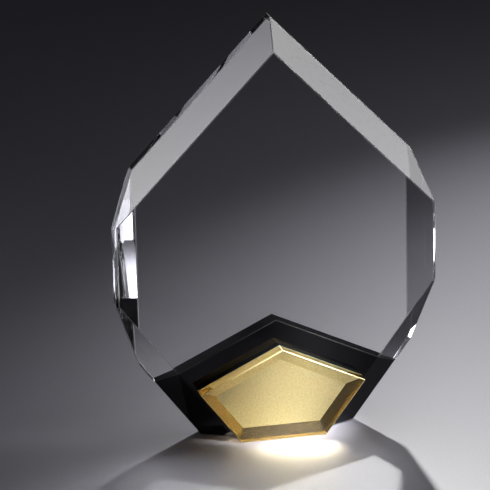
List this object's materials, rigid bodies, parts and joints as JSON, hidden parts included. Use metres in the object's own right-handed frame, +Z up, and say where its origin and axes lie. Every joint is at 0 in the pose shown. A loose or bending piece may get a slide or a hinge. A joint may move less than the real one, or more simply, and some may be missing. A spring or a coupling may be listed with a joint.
{
  "type": "crystal award",
  "caption": "Faceted clear crystal award slab on a black crystal base, with a bevelled gold-backed plaque on the front.",
  "frame": {"origin": "bottom centre of the bounding box, on the surface that the award stands on", "axes": "+Z up, +Y towards the back of the award, +X to the right of someone facing its front"},
  "size_m": [0.1916, 0.0306, 0.25],
  "materials": {
    "clear_crystal": "polished",
    "black_crystal": "polished",
    "amber_crystal": "polished",
    "gold_foil": "satin",
    "clear_bond": "clear cured adhesive"
  },
  "bodies": {
    "root": {"crystal_body": "clear_crystal", "black_base": "black_crystal", "base_joint_adhesive": "clear_bond", "plaque_crystal": "amber_crystal", "plaque_gold_backing": "gold_foil", "plaque_adhesive": "clear_bond"}
  },
  "joints": []
}
